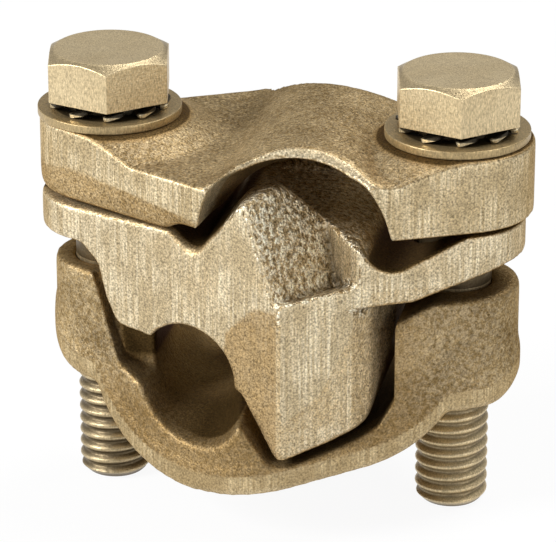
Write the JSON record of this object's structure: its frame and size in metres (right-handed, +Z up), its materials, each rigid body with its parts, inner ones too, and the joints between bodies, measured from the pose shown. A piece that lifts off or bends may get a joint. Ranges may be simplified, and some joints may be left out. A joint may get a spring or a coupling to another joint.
{
  "type": "parallel clamp",
  "caption": "Cast bronze parallel clamp: an arched cap, a wedge saddle and a tapped base on hex bolts, gripping two conductors side by side.",
  "frame": {"origin": "on the axis of the lower conductor groove, level with the line through both bolts", "axes": "+Z up along the bolts towards their heads, +X along the bolt line towards the wedge, +Y along the conductors"},
  "size_m": [0.0541, 0.0346, 0.0495],
  "materials": {
    "cap": "as cast, ground on its front face",
    "saddle": "ground front faces, cast hollows",
    "base": "as cast, ground lower rim",
    "bolts": "satin",
    "washers": "satin",
    "lock_washers": "satin"
  },
  "bodies": {
    "base": {"base": "base"},
    "saddle": {"saddle": "saddle"},
    "cap": {"cap": "cap", "flat_washer_left": "washers", "flat_washer_right": "washers", "lock_washer_left": "lock_washers", "lock_washer_right": "lock_washers"},
    "bolt_left": {"bolt_left": "bolts"},
    "bolt_right": {"bolt_right": "bolts"}
  },
  "joints": [
    {"name": "cap_lift", "type": "slide", "parent": "base", "child": "cap", "axis": [0, 0, 1], "range_m": [-0.00085, 0.008]},
    {"name": "saddle_lift", "type": "slide", "parent": "base", "child": "saddle", "axis": [0, 0, 1], "range_m": [-0.00048, 0.0045]},
    {"name": "bolt_left_turn", "type": "hinge", "parent": "cap", "child": "bolt_left", "pos_m": [-0.0111, 0, 0.028], "axis": [0, 0, 1], "range_deg": [-218, 2042]},
    {"name": "bolt_right_turn", "type": "hinge", "parent": "cap", "child": "bolt_right", "pos_m": [0.0269, 0, 0.028], "axis": [0, 0, 1], "range_deg": [-218, 2042]}
  ],
  "couplings": [
    {"joint": "saddle_lift", "follows": "cap_lift", "ratio": 0.556},
    {"joint": "bolt_left_turn", "follows": "cap_lift", "rad_per_m": 4452.7},
    {"joint": "bolt_right_turn", "follows": "cap_lift", "rad_per_m": 4452.7}
  ]
}
